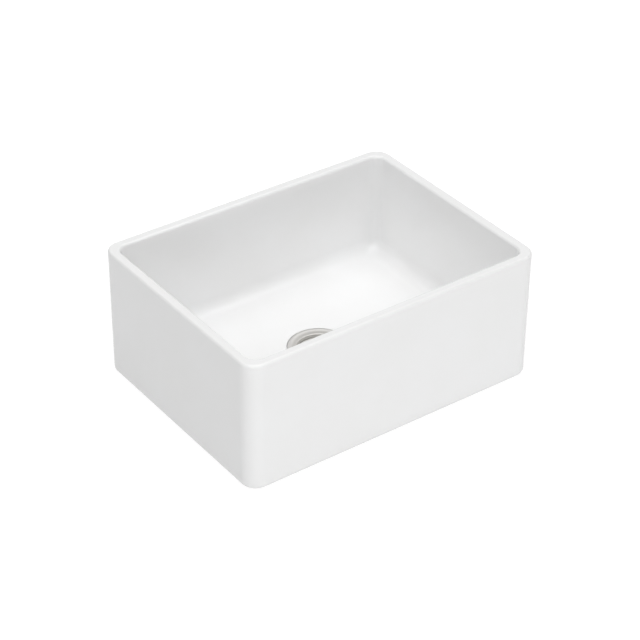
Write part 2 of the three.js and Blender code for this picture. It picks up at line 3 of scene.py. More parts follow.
import bmesh
import bpy
from mathutils import Matrix, Vector


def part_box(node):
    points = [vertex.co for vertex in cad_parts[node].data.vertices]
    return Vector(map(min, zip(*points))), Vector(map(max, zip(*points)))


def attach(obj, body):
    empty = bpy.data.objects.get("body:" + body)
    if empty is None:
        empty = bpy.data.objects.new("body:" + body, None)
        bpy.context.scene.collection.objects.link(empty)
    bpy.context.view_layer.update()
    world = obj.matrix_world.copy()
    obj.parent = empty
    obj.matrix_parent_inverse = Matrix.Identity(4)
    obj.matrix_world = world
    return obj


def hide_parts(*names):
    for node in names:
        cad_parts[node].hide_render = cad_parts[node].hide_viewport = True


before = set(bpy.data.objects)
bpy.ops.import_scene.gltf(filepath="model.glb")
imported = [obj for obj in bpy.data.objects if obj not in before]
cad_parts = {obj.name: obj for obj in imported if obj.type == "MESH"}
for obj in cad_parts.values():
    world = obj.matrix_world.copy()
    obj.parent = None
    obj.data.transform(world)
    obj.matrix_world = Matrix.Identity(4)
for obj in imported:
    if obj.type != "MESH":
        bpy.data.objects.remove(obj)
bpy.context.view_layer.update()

# -------- the sink, from the frame, in metres

SINK_LOW, SINK_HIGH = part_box("sink_body")
HALF_WIDTH = (SINK_HIGH.x - SINK_LOW.x) / 2
HALF_DEPTH = (SINK_HIGH.y - SINK_LOW.y) / 2
SINK_TOP = SINK_HIGH.z
DRAIN = Vector((0, (SINK_LOW.y + SINK_HIGH.y) / 2, 0))  # the drain's axis, at the height of the foot

OUTER_CORNER = 0.030
FOOT_EDGE = 0.011
RIM = 0.019
RIM_OUTER_EDGE = 0.005
RIM_INNER_EDGE = 0.005
BOWL_CORNER = 0.020
BOWL_DRAFT = 0.004
BOWL_FLOOR = 0.050
FLOOR_FALL = 0.003
FLOOR_FILLET = 0.026
FLOOR_THICKNESS = 0.020
FOOT_WIDTH = 0.040
FOOT_INNER_EDGE = 0.004
RECESS_DRAFT = 0.003
RECESS_FILLET = 0.008
RECESS_CORNER = 0.024
DRAIN_HOLE = 0.045
REBATE = 0.05835
REBATE_DEPTH = 0.003
REBATE_EDGE = 0.0012

# -------- the drain's hardware, in millimetres

MM = 0.001
CUP_THREAD = 42.8  # major radius of the large thread
CUP_THREAD_PITCH = 2.1
CUP_THREAD_DEPTH = 0.85
CUP_THREAD_RUN = (14.5, 45.6)  # the heights between which it is cut
NECK_THREAD = 23.7
NECK_THREAD_PITCH = 2.2
NECK_THREAD_DEPTH = 0.9
NECK_THREAD_TOP = -2
STEPS_PER_TURN = 8  # rings of points along one turn of a thread
CREST_BAND = 0.01  # stretches this close to a thread's crest are divided
NECK_BORE = 19.5
CUP_UNDERSIDE = 1.0
CUP_FLOOR = 4.0
CUP_WALL = 38.6
THROAT = 41.2
SHOULDER = 40.0
SEAT = 26.5
SEAT_HEIGHT = 2.0
FLANGE_EDGE = 1.6
FLANGE_DISH = 2.2
FLANGE_LAND = 3.5
THREAD_HOLE = 43.1  # in what the large thread passes through
TAIL_HOLE = 19.35
COUPLING_BORE = 24.0
POST = 3.5
POST_TAIL = 2.8
TAIL_FIT = 2.9
BASKET_BORE = 6.3
BASKET_SHEET = 0.9
BASKET_MOUTH = 36.9
BASKET_FLOOR = 33.0
HOLE = 1.6  # radius
HOLE_RINGS = (26, 20, 14)  # radii, in the basket's floor
HOLE_SPACING = 8.1
SIDE_HOLES = 20
SIDE_HOLE_HEIGHT = 11.4

# -------- the camera, fitted to the photograph

CAMERA_AZIMUTH = math.radians(-36.191)
CAMERA_ELEVATION = math.radians(34.079)
CAMERA_ROLL = math.radians(-0.492)
CAMERA_TARGET = DRAIN + Vector((0.0941, 0.1268, 0))
CAMERA_DISTANCE = 3.889
CAMERA_LENS = 116.90
CAMERA_SENSOR = 36.0


def aim(azimuth, elevation):
    """The direction from a target to something seen at an azimuth and elevation."""
    flat = math.cos(elevation)
    return Vector((math.sin(azimuth) * flat, -math.cos(azimuth) * flat, math.sin(elevation)))


def make_camera():
    data = bpy.data.cameras.new("camera")
    data.sensor_width = CAMERA_SENSOR
    data.lens = CAMERA_LENS
    camera = bpy.data.objects.new("camera", data)
    back = aim(CAMERA_AZIMUTH, CAMERA_ELEVATION)
    turn = (-back).to_track_quat("-Z", "Y").to_matrix() @ Matrix.Rotation(-CAMERA_ROLL, 3, "Z")
    camera.matrix_world = Matrix.Translation(CAMERA_TARGET + back * CAMERA_DISTANCE) @ turn.to_4x4()
    bpy.context.collection.objects.link(camera)
    bpy.context.scene.camera = camera


# -------- mesh helpers

def arc(across, height, radius, start, end, steps):
    """Points on an arc in the (across, height) plane, angles in degrees."""
    points = []
    for step in range(steps + 1):
        angle = math.radians(start + (end - start) * step / steps)
        points.append((across + radius * math.cos(angle), height + radius * math.sin(angle)))
    return points


NEARLY_STRAIGHT = math.radians(89.5)  # half the angle at a corner that needs no arc
MOST_CUT = 0.49  # the largest share of a side that one corner's arc takes


def rounded(corners, steps=6):
    """A closed outline through corners (across, height, round), each cut by an arc of its own round."""
    outline = []
    for index, (across, height, round_radius) in enumerate(corners):
        corner = Vector((across, height))
        before = Vector(corners[index - 1][:2]) - corner
        after = Vector(corners[(index + 1) % len(corners)][:2]) - corner
        half = before.angle(after) / 2
        if not round_radius or half > NEARLY_STRAIGHT:
            outline.append((across, height))
            continue
        reach = min(round_radius / math.tan(half), MOST_CUT * before.length, MOST_CUT * after.length)
        radius = reach * math.tan(half)
        inward = (before.normalized() + after.normalized()).normalized()
        centre = corner + inward * radius / math.sin(half)
        first = corner + before.normalized() * reach - centre
        last = corner + after.normalized() * reach - centre
        sweep = first.angle_signed(last)
        for step in range(steps + 1):
            point = centre + Matrix.Rotation(-sweep * step / steps, 2) @ first
            outline.append((max(point.x, 0.0), point.y))
    return outline


def refined(outline, nearest, furthest, step):
    """The outline with extra points on the stretches that lie between two radii."""
    points = []
    for here, after in zip(outline, outline[1:] + outline[:1]):
        points.append(here)
        if min(here[0], after[0]) < nearest or max(here[0], after[0]) > furthest:
            continue
        first, last = Vector(here), Vector(after)
        count = math.ceil((last - first).length / step)
        points += [tuple(first.lerp(last, i / count)) for i in range(1, count)]
    return points


def weight_normals(piece):
    """Leans a piece's normals towards its larger faces, so that flats look flat."""
    normals = piece.modifiers.new("face_normals", "WEIGHTED_NORMAL")
    normals.keep_sharp = True


def add_piece(name, mesh, material, sharp=35):
    """A piece made of a mesh, shaded smooth up to an edge angle in degrees."""
    mesh.shade_smooth()
    mesh.set_sharp_from_angle(angle=math.radians(sharp))
    mesh.materials.clear()
    mesh.materials.append(material)
    piece = bpy.data.objects.new(name, mesh)
    bpy.context.collection.objects.link(piece)
    weight_normals(piece)
    return piece


def from_bmesh(name, shape):
    """A mesh from a bmesh, which is used up, with its faces turned outwards."""
    bmesh.ops.recalc_face_normals(shape, faces=shape.faces)
    mesh = bpy.data.meshes.new(name)
    shape.to_mesh(mesh)
    shape.free()
    return mesh


def loft(loops):
    """The closed surface through loops of equal length, where the last joins the first."""
    shape = bmesh.new()
    rows = [[shape.verts.new(point) for point in loop] for loop in loops]
    for here, there in zip(rows, rows[1:] + rows[:1]):
        for i in range(len(here)):
            j = (i + 1) % len(here)
            shape.faces.new((here[i], there[i], there[j], here[j]))
    return shape


ON_AXIS = 1e-6  # a smaller radius is the axis
ON_CREST = 1e-4  # how near to a thread's crest a point is cut
WELD = 1e-6  # how near points become one, in metres


def turned(outline, segments=96, carve=None):
    """A closed outline of (radius, height), in millimetres, spun round the drain's axis.

    An outline that starts and ends at radius 0 makes a solid piece. carve(angle, radius, height) gives
    the radius where a piece isn't quite round.
    """
    shape = bmesh.new()
    rings = []
    for radius, height in outline:
        ring = []
        for step in range(segments if radius > ON_AXIS else 1):
            angle = 2 * math.pi * step / segments
            across = carve(angle, radius, height) if carve else radius
            point = Vector((across * math.cos(angle), across * math.sin(angle), height))
            ring.append(shape.verts.new(DRAIN + point * MM))
        rings.append(ring)
    for here, there in zip(rings, rings[1:] + rings[:1]):
        if len(here) == len(there) == 1:
            continue
        for i in range(segments):
            j = (i + 1) % segments
            side = [here[i % len(here)], there[i % len(there)]]
            side += [there[j % len(there)], here[j % len(here)]]
            shape.faces.new(list(dict.fromkeys(side)))
    return shape


def thread(radius, low, high, pitch, depth):
    """Carves a helical thread whose crests lie at a radius."""
    def carve(angle, across, height):
        if abs(across - radius) > ON_CREST or not low < height < high:
            return across
        fade = min(1, (height - low) / pitch, (high - height) / pitch)
        turn = height / pitch - angle / (2 * math.pi)
        return across - depth * fade * (0.5 + 0.5 * math.cos(2 * math.pi * turn))
    return carve


BLUNT_SHARE = 0.012  # how much of its half width a hexagon loses at each corner


def hexagon(flat):
    """Cuts a round piece down to a slightly blunt hexagon; flat is half its width across flats."""
    blunt = 2 * flat / math.sqrt(3) - BLUNT_SHARE * flat

    def carve(angle, across, height):
        off = (angle + math.pi / 6) % (math.pi / 3) - math.pi / 6
        return min(across, flat / math.cos(off), blunt)
    return carve


def settle(piece):
    """Applies a piece's modifiers to its mesh."""
    depsgraph = bpy.context.evaluated_depsgraph_get()
    mesh = bpy.data.meshes.new_from_object(piece.evaluated_get(depsgraph))
    piece.modifiers.clear()
    piece.data = mesh


def place(piece, body, node, slot):
    """Hangs a piece on the body it rides on and hides the CAD node it stands in for; slot is not used."""
    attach(piece, body)
    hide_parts(node)


def span(name):
    """The outer radius, bottom and top of a turned CAD piece, in millimetres."""
    low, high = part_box(name)
    return (high.x - low.x) / 2 / MM, low.z / MM, high.z / MM


# -------- the sink body

CORNER_STEPS = 14
SIDE_STEPS = 16
WALL_STEPS = 10
RIM_STEPS = 10
FLOOR_STEPS = 14
RECESS_STEPS = 8
FLOOR_FILLET_STEPS = 16
FOOT_EDGE_STEPS = 12
FOOT_INNER_STEPS = 6
RECESS_FILLET_STEPS = 8
REBATE_EDGE_STEPS = 4
# The rim's darker tone is partly glaze running thin and partly painted shade on its lit top and edges.
RIM_TOP_THIN_SHADE = 0.35  # how thin the glaze is on the rim's flat top, which also paints shade there; 1 is thinnest
INNER_EDGE_THIN_SHADE = 0.5  # the same on the rim's inner edge; the outer edge has 1


def plan_loop(inset, height, corner):
    """A rounded rectangle round the drain, moved in from the outer plan by inset, anticlockwise."""
    across = HALF_WIDTH - inset
    along = HALF_DEPTH - inset
    centres = [
        (across - corner, along - corner),
        (corner - across, along - corner),
        (corner - across, corner - along),
        (across - corner, corner - along),
    ]
    loop = []
    for quarter, (x, y) in enumerate(centres):
        for step in range(CORNER_STEPS + 1):
            angle = math.pi / 2 * (quarter + step / CORNER_STEPS)
            loop.append(Vector((x + corner * math.cos(angle), y + corner * math.sin(angle), height)))
        next_x, next_y = centres[(quarter + 1) % len(centres)]
        angle = math.pi / 2 * (quarter + 1)
        start = loop[-1].copy()
        end = Vector((next_x + corner * math.cos(angle), next_y + corner * math.sin(angle), height))
        for step in range(1, SIDE_STEPS):
            loop.append(start.lerp(end, step / SIDE_STEPS))
    return [point + DRAIN for point in loop]


def round_loop(radius, height, like):
    """A circle round the drain whose points lie on the same rays as those of another loop."""
    loop = []
    for point in like:
        ray = Vector((point.x - DRAIN.x, point.y - DRAIN.y, 0)).normalized()
        loop.append(DRAIN + ray * radius + Vector((0, 0, height)))
    return loop


def between(first, second, share, height):
    """The loop a share of the way from one loop to another, at a height of its own."""
    loop = []
    for a, b in zip(first, second):
        point = a.lerp(b, share)
        loop.append(Vector((point.x, point.y, height)))
    return loop


def outer_loop(inset, height):
    return plan_loop(inset, height, OUTER_CORNER - inset)


def inner_loop(inset, height):
    return plan_loop(inset, height, BOWL_CORNER + max(0, RIM - inset))


def recess_loop(inset, height):
    return plan_loop(inset, height, RECESS_CORNER)


def bowl_loops():
    """From the rebate's edge out over the falling floor and up the walls to the rim."""
    fillet_foot = BOWL_FLOOR + FLOOR_FALL
    fillet_edge = RIM + BOWL_DRAFT + FLOOR_FILLET
    floor_edge = inner_loop(fillet_edge, fillet_foot)
    drain_edge = round_loop(REBATE + REBATE_EDGE, BOWL_FLOOR, floor_edge)
    loops = [drain_edge]
    for step in range(1, FLOOR_STEPS):
        share = step / FLOOR_STEPS
        ease = share * share * (3 - 2 * share)
        loops.append(between(drain_edge, floor_edge, share, BOWL_FLOOR + FLOOR_FALL * ease))
    fillet = arc(fillet_edge, fillet_foot + FLOOR_FILLET, FLOOR_FILLET, 270, 180, FLOOR_FILLET_STEPS)
    rim_edge = arc(RIM - RIM_INNER_EDGE, SINK_TOP - RIM_INNER_EDGE, RIM_INNER_EDGE, 0, 90, RIM_STEPS)
    wall_foot, wall_top = Vector(fillet[-1]), Vector(rim_edge[0])
    wall = [wall_foot.lerp(wall_top, step / WALL_STEPS) for step in range(1, WALL_STEPS)]
    return loops + [inner_loop(*point) for point in fillet + wall + rim_edge]


def outside_loops():
    """From the rim down the outer walls to the foot."""
    rim_edge = arc(RIM_OUTER_EDGE, SINK_TOP - RIM_OUTER_EDGE, RIM_OUTER_EDGE, 90, 180, RIM_STEPS)
    foot_edge = arc(FOOT_EDGE, FOOT_EDGE, FOOT_EDGE, 180, 270, FOOT_EDGE_STEPS)
    wall_top, wall_foot = Vector(rim_edge[-1]), Vector(foot_edge[0])
    wall = [wall_top.lerp(wall_foot, step / WALL_STEPS) for step in range(1, WALL_STEPS)]
    return [outer_loop(*point) for point in rim_edge + wall + foot_edge]


def underside_loops(floor_edge):
    """The recess under the floor, and the hole and rebate for the drain."""
    recess_top = BOWL_FLOOR - FLOOR_THICKNESS
    recess_wall = FOOT_WIDTH + FOOT_INNER_EDGE + RECESS_DRAFT + RECESS_FILLET
    foot_inner = arc(FOOT_WIDTH, FOOT_INNER_EDGE, FOOT_INNER_EDGE, 270, 360, FOOT_INNER_STEPS)
    fillet = arc(recess_wall, recess_top - RECESS_FILLET, RECESS_FILLET, 180, 90, RECESS_FILLET_STEPS)
    loops = [recess_loop(*point) for point in foot_inner + fillet]
    recess_edge = loops[-1]
    hole_edge = round_loop(DRAIN_HOLE, recess_top, floor_edge)
    for step in range(1, RECESS_STEPS):
        loops.append(between(recess_edge, hole_edge, step / RECESS_STEPS, recess_top))
    rebate = BOWL_FLOOR - REBATE_DEPTH
    loops.append(hole_edge)
    loops.append(round_loop(DRAIN_HOLE, rebate, floor_edge))
    loops.append(round_loop(REBATE, rebate, floor_edge))
    edge_middle = (REBATE + REBATE_EDGE, BOWL_FLOOR - REBATE_EDGE)
    for across, height in arc(*edge_middle, REBATE_EDGE, 180, 90, REBATE_EDGE_STEPS)[:-1]:
        loops.append(round_loop(across, height, floor_edge))
    return loops


def thin_glaze_shade_share(step):
    """How thin the glaze is on the rim, and so how much painted shade darkens it; step counts rows of the
    loft from the outer edge's first.
    """
    if 0 <= step <= RIM_STEPS:
        share = step / RIM_STEPS
        return max(math.sin(math.pi * share), RIM_TOP_THIN_SHADE * (1 - share))
    if -RIM_STEPS - 1 <= step < 0:
        share = (step + RIM_STEPS + 1) / RIM_STEPS
        return max(INNER_EDGE_THIN_SHADE * math.sin(math.pi * share), RIM_TOP_THIN_SHADE * share)
    return 0.0


def make_sink(material):
    """The fireclay body, which also says where its glaze is wiped off ("bare") and where it runs thin on
    the rim with painted shade ("thin").
    """
    bowl = bowl_loops()
    outside = outside_loops()
    underside = underside_loops(bowl[0])
    mesh = from_bmesh("fireclay_sink", loft(bowl + outside + underside))
    unglazed_top = BOWL_FLOOR - REBATE_DEPTH - 1e-5  # just under the rebate, which is glazed
    for name in ("bare", "thin"):
        mesh.attributes.new(name, "FLOAT", "POINT")
    bare, thin = mesh.attributes["bare"], mesh.attributes["thin"]
    count = len(bowl[0])
    for index, vertex in enumerate(mesh.vertices):
        row = index // count
        if row < len(bowl):
            share = 0.0
        elif row < len(bowl) + len(outside):
            share = max(0.0, 1 - vertex.co.z / FOOT_EDGE)
        else:
            share = 1.0 if vertex.co.z < unglazed_top else 0.0
        bare.data[index].value = share
        # the rim's thin glaze, which also carries painted shade
        thin.data[index].value = thin_glaze_shade_share(row - len(bowl))
    sink = add_piece("fireclay_sink", mesh, material, sharp=40)
    place(sink, "sink", "sink_body", "glaze")


# -------- the strainer body and what clamps it

def make_strainer(material):
    """The dished flange, cup and threaded neck in one."""
    flange, bottom, top = span("strainer_body")
    crown = flange - FLANGE_LAND
    outline = rounded([
        (NECK_BORE, bottom, 0.5),
        (NECK_THREAD, bottom, 0.8),
        (NECK_THREAD, CUP_UNDERSIDE, 2.4),
        (CUP_THREAD, CUP_UNDERSIDE, 12.7),
        (CUP_THREAD, top - FLANGE_DISH - FLANGE_EDGE, 0.8),
        (crown, top - FLANGE_EDGE, 2),
        (flange, top - FLANGE_EDGE, 0.3),
        (flange, top, 0.7),
        (crown, top, 18),
        (THROAT, top - FLANGE_DISH, 2.2),
        (THROAT, SHOULDER, 0.4),
        (CUP_WALL, SHOULDER - 0.4, 0.8),
        (CUP_WALL, CUP_FLOOR, 10),
        (SEAT + 2.1, CUP_FLOOR, 1.5),
        (SEAT, SEAT_HEIGHT, 1),
        (NECK_BORE, SEAT_HEIGHT, 1.2),
    ], steps=8)
    for radius, pitch in ((CUP_THREAD, CUP_THREAD_PITCH), (NECK_THREAD, NECK_THREAD_PITCH)):
        outline = refined(outline, radius - CREST_BAND, radius + CREST_BAND, pitch / STEPS_PER_TURN)
    cup_thread = thread(CUP_THREAD, *CUP_THREAD_RUN, CUP_THREAD_PITCH, CUP_THREAD_DEPTH)
    neck_thread = thread(NECK_THREAD, bottom + 1, NECK_THREAD_TOP, NECK_THREAD_PITCH, NECK_THREAD_DEPTH)

    def carve(angle, across, height):
        return neck_thread(angle, cup_thread(angle, across, height), height)

    mesh = from_bmesh("strainer_body", turned(outline, 128, carve))
    place(add_piece("strainer_cup", mesh, material), "sink", "strainer_body", "strainer_steel")


def plate(name, outlines, bottom, top, bevel):
    """A flat mesh cut to outlines, in millimetres: the first is its edge, the rest are holes."""
    curve = bpy.data.curves.new(name, "CURVE")
    curve.dimensions = "2D"
    curve.fill_mode = "BOTH"
    curve.extrude = ((top - bottom) / 2 - bevel) * MM
    curve.bevel_depth = bevel * MM
    curve.bevel_resolution = 2
    curve.offset = -bevel * MM
    for outline in outlines:
        spline = curve.splines.new("POLY")
        spline.points.add(len(outline) - 1)
        for point, (x, y) in zip(spline.points, outline):
            point.co = (x * MM, y * MM, 0, 1)
        spline.use_cyclic_u = True
    holder = bpy.data.objects.new(name, curve)
    bpy.context.collection.objects.link(holder)
    depsgraph = bpy.context.evaluated_depsgraph_get()
    mesh = bpy.data.meshes.new_from_object(holder.evaluated_get(depsgraph))
    bpy.data.objects.remove(holder)
    mesh.transform(Matrix.Translation(DRAIN + Vector((0, 0, (top + bottom) / 2 * MM))))
    shape = bmesh.new()
    shape.from_mesh(mesh)
    bmesh.ops.remove_doubles(shape, verts=shape.verts, dist=WELD)
    return from_bmesh(name, shape)


def make_star(material):
    """The cross-piece in the outlet, whose hub guides the foot of the post."""
    arms, width, hub, bore, bevel = 5, 3.2, 7.0, 3.6, 0.35
    bottom, top = SEAT_HEIGHT - 7, SEAT_HEIGHT - 3.5
    reach = NECK_BORE + 0.6  # the arms end in the wall of the neck
    root = hub * 0.97  # and start just inside the hub's edge
    apart = 2 * math.pi / arms
    clear = math.asin(width / 2 / hub) * 1.25  # from an arm's middle to where the hub's bare edge starts
    hub_steps, bore_steps = 8, 40
    edge = []
    for arm in range(arms):
        middle = math.pi / 2 + 2 * math.pi * arm / arms
        turn = Matrix.Rotation(middle, 2)
        for corner in ((root, -width / 2), (reach, -width / 2), (reach, width / 2), (root, width / 2)):
            edge.append(tuple(turn @ Vector(corner)))
        start = middle + clear
        end = middle + apart - clear
        for step in range(hub_steps + 1):
            angle = start + (end - start) * step / hub_steps
            edge.append((hub * math.cos(angle), hub * math.sin(angle)))
    hole = []
    for step in range(bore_steps):
        angle = 2 * math.pi * step / bore_steps
        hole.append((bore * math.cos(angle), bore * math.sin(angle)))
    mesh = plate("outlet_star", [edge, hole], bottom, top, bevel)
    place(add_piece("outlet_star", mesh, material), "sink", "strainer_body", "strainer_steel")


def make_washer(name, node, inner, edge_round, material, body, slot, bulge=False):
    """A ring of its CAD node's height, whose outer edge is fully round where it bulges."""
    radius, bottom, top = span(node)
    outer_round = (top - bottom) / 2 - 0.02 if bulge else edge_round
    outline = rounded([
        (inner, bottom, edge_round),
        (radius, bottom, outer_round),
        (radius, top, outer_round),
        (inner, top, edge_round),
    ])
    place(add_piece(name, from_bmesh(name, turned(outline)), material), body, node, slot)


def make_flange_seal(material):
    """A foam ring whose top slopes in under the dished flange."""
    radius, bottom, top = span("flange_seal")
    width = 7
    inner = radius - width
    slope = FLANGE_DISH * width / (radius - CUP_THREAD)
    outline = rounded([
        (inner, bottom, 0.1),
        (radius, bottom, 0.35),
        (radius, top, 0.5),
        (inner, top - slope, 0.1),
    ])
    mesh = from_bmesh("flange_seal", turned(outline))
    place(add_piece("foam_seal", mesh, material), "sink", "flange_seal", "seal_foam")


def make_locknut(material):
    """Cast in one with its lugs: the shapes are merged by a remesh and softened as a casting is."""
    low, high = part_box("locknut")
    bottom, top = low.z / MM, high.z / MM
    ring, ring_height = 52, 8
    lug, lug_reach = 12.6, 51.5
    lug_height = top - 1.2 - bottom
    lug_middle = (top - 1 + bottom) / 2
    foot = top - ring_height
    shape = turned(rounded([
        (THREAD_HOLE, foot, 0.6),
        (ring, foot, 1.5),
        (ring, top, 0.5),
        (THREAD_HOLE, top, 0.5),
    ]), 120)
    for quarter in range(4):
        turn = Matrix.Rotation(math.pi / 2 * (quarter + 0.5), 4, "Z")
        size = Matrix.Diagonal((lug, lug, lug_height, 1))
        spot = Matrix.Translation((lug_reach, 0, lug_middle))
        made = bmesh.ops.create_cube(shape, size=1, matrix=turn @ spot @ size)["verts"]
        bmesh.ops.scale(shape, vec=(MM, MM, MM), verts=made)
        bmesh.ops.translate(shape, vec=DRAIN, verts=made)
    nut = add_piece("locknut_cast", from_bmesh("locknut_cast", shape), material, sharp=180)
    merge = nut.modifiers.new("merge", "REMESH")
    merge.mode = "VOXEL"
    merge.voxel_size = 0.75 * MM
    soften = nut.modifiers.new("soften", "SMOOTH")
    soften.factor = 0.5
    soften.iterations = 4
    settle(nut)
    nut.data.shade_smooth()
    place(nut, "sink", "locknut", "cast_zinc")


NUT_SHARP = 25


def nut_mesh(name, flat, bore, lip, bottom, top, chamfer, lip_height=0):
    """A hexagonal nut: its bore, a narrower lip at the foot where it has one, and chamfered faces."""
    corner = 2 * flat / math.sqrt(3)
    fall = chamfer * (corner - flat) / (corner - flat + 1)
    ledge = bottom + lip_height
    inside = [(bore, top, 0.3)]
    if lip_height:
        inside += [(bore, ledge, 0.3), (lip, ledge, 0.3), (lip, bottom, 0.4)]
    else:
        inside += [(bore, bottom, 0.3)]
    outside = [
        (flat, bottom, 0.2),
        (corner, bottom + fall, 0.2),
        (corner, top - fall, 0.2),
        (flat, top, 0.2),
    ]
    outline = refined(rounded(inside + outside), flat - 0.05, corner + 1, 0.35)
    return from_bmesh(name, turned(outline, 96, hexagon(flat)))


def make_coupling_nut(material):
    radius, bottom, top = span("coupling_nut")
    chamfer, lip = 2.5, 2.7
    mesh = nut_mesh("coupling_nut", radius, COUPLING_BORE, TAIL_HOLE, bottom, top, chamfer, lip)
    nut = add_piece("coupling_hex", mesh, material, NUT_SHARP)
    place(nut, "sink", "coupling_nut", "plated_brass")


def make_post_nut(material):
    radius, bottom, top = span("post_nut")
    bore, chamfer = POST_TAIL + 0.3, 0.5
    mesh = nut_mesh("post_nut", radius, bore, 0, bottom, top, chamfer)
    nut = add_piece("post_hex_nut", mesh, material, NUT_SHARP)
    place(nut, "stopper", "post_nut", "plated_brass")


# -------- the basket

def drills(holes):
    """One mesh object of upright or sideways drills; a hole is (centre, direction), in millimetres."""
    radius, length = HOLE * MM, 8 * MM
    shape = bmesh.new()
    for centre, direction in holes:
        turn = Vector(direction).to_track_quat("Z", "Y").to_matrix().to_4x4()
        spot = Matrix.Translation(DRAIN + Vector(centre) * MM)
        bmesh.ops.create_cone(
            shape, cap_ends=True, segments=20, radius1=radius, radius2=radius, depth=length,
            matrix=spot @ turn,
        )
    cutter = bpy.data.objects.new("drills", from_bmesh("drills", shape))
    bpy.context.collection.objects.link(cutter)
    return cutter


def basket_holes(bottom):
    """The holes in the basket's floor and wall, as drills() takes them."""
    holes = []
    for radius in HOLE_RINGS:
        count = int(2 * math.pi * radius / HOLE_SPACING)
        for i in range(count):
            angle = math.pi / 2 + 2 * math.pi * i / count
            holes.append(((radius * math.cos(angle), radius * math.sin(angle), bottom), (0, 0, 1)))
    for i in range(SIDE_HOLES):
        angle = 2 * math.pi * (i + 0.5) / SIDE_HOLES
        out = Vector((math.cos(angle), math.sin(angle), 0))
        holes.append((out * (BASKET_FLOOR + 2) + Vector((0, 0, bottom + SIDE_HOLE_HEIGHT)), out))
    return holes


def make_basket(material):
    """A pressed cup of thin sheet, drilled all over."""
    rim, bottom, top = span("basket_cup")
    outline = rounded([
        (BASKET_BORE, bottom, 0.1),
        (BASKET_FLOOR - 1.47, bottom, 5.9),
        (BASKET_MOUTH, top - BASKET_SHEET, 0.6),
        (rim, top - BASKET_SHEET, 0.3),
        (rim, top, 0.4),
        (BASKET_MOUTH - BASKET_SHEET, top, 1.4),
        (BASKET_FLOOR - 2.08, bottom + BASKET_SHEET, 5),
        (BASKET_BORE, bottom + BASKET_SHEET, 0.1),
    ], steps=8)
    mesh = from_bmesh("perforated_basket", turned(outline, 120))
    basket = add_piece("perforated_basket", mesh, material)
    cutter = drills(basket_holes(bottom))
    perforate = basket.modifiers.new("perforate", "BOOLEAN")
    perforate.operation = "DIFFERENCE"
    perforate.solver = "EXACT"
    perforate.object = cutter
    settle(basket)
    bpy.data.objects.remove(cutter)
    basket.data.set_sharp_from_angle(angle=math.radians(35))
    weight_normals(basket)
    place(basket, "basket", "basket_cup", "basket_steel")


def make_bush(material):
    """The spool in the basket's floor, with the groove that holds the friction ring."""
    radius, bottom, top = span("guide_bush")
    bore, waist, groove = POST + 0.3, 6.0, 5.3
    waist_half, groove_half = 0.55, 0.9  # half their heights
    middle = (bottom + top) / 2
    outline = rounded([
        (bore, bottom, 0.4),
        (radius, bottom, 1.1),
        (radius, middle - waist_half, 0.3),
        (waist, middle - waist_half, 0),
        (waist, middle + waist_half, 0),
        (radius, middle + waist_half, 0.3),
        (radius, top, 1.1),
        (bore, top, 0.4),
        (bore, middle + groove_half, 0.1),
        (groove, middle + groove_half, 0.1),
        (groove, middle - groove_half, 0.1),
        (bore, middle - groove_half, 0.1),
    ])
    mesh = from_bmesh("guide_bush", turned(outline, 72))
    place(add_piece("nylon_bush", mesh, material), "basket", "guide_bush", "bush_nylon")


def make_friction_ring(material):
    """The ring of round rubber in the bush that grips the post."""
    radius, bottom, top = span("friction_ring")
    section = (top - bottom) / 2
    outline = arc(radius - section, (bottom + top) / 2, section, 0, 360, 20)[:-1]
    mesh = from_bmesh("friction_ring", turned(outline, 60))
    place(add_piece("o_ring", mesh, material, sharp=180), "basket", "friction_ring", "ring_rubber")


# -------- the stopper

def make_post(material):
    """The post with its collar, and the threaded tail that holds the seal."""
    collar, tip, top = span("stopper_post")
    washer_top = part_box("seal_washer")[1].z / MM
    outline = rounded([
        (0, tip, 0),
        (POST_TAIL - 0.9, tip, 0.3),
        (POST_TAIL, tip + 1.2, 0.4),
        (POST_TAIL, washer_top + 0.1, 0.1),
        (collar, washer_top + 0.1, 0.4),
        (collar, washer_top + 1.9, 0.5),
        (POST, washer_top + 1.9, 0.5),
        (POST, top, 0.4),
        (0, top, 0),
    ])
    pitch, depth, thread_top = 0.8, 0.3, 2.2
    outline = refined(outline, POST_TAIL - CREST_BAND, POST_TAIL + CREST_BAND, pitch / STEPS_PER_TURN)
    carve = thread(POST_TAIL, tip + 0.8, thread_top, pitch, depth)
    mesh = from_bmesh("stopper_post", turned(outline, 48, carve))
    place(add_piece("steel_post", mesh, material), "stopper", "stopper_post", "post_steel")


def make_knob(material):
    """A turned cap on a stem, with a shallow dish and a bead round its top and flutes on its edge."""
    radius, bottom, top = span("stopper_knob")
    socket, stem, cap = POST + 0.1, 5.5, 5
    socket_top = top - 3.75
    flutes, flute_depth, flute_band = 28, 0.35, 1.2
    outline = rounded([
        (0, top - 0.7, 0),
        (6.2, top - 0.35, 6),
        (7.6, top, 0.8),
        (radius, top, 3),
        (radius, top - cap, 1.5),
        (stem, top - cap, 2.5),
        (stem, bottom, 0.8),
        (socket, bottom, 0.3),
        (socket, socket_top, 0.3),
        (0, socket_top, 0),
    ], steps=8)
    outline = refined(outline, radius - 3.2, radius + 0.1, 0.3)

    def carve(angle, across, height):
        share = max(0.0, (across - radius + flute_band) / flute_band)
        return across - flute_depth * share * (0.5 - 0.5 * math.cos(flutes * angle)) ** 2

    mesh = from_bmesh("stopper_knob", turned(outline, 168, carve))
    place(add_piece("knob_cap", mesh, material), "stopper", "stopper_knob", "knob_chrome")


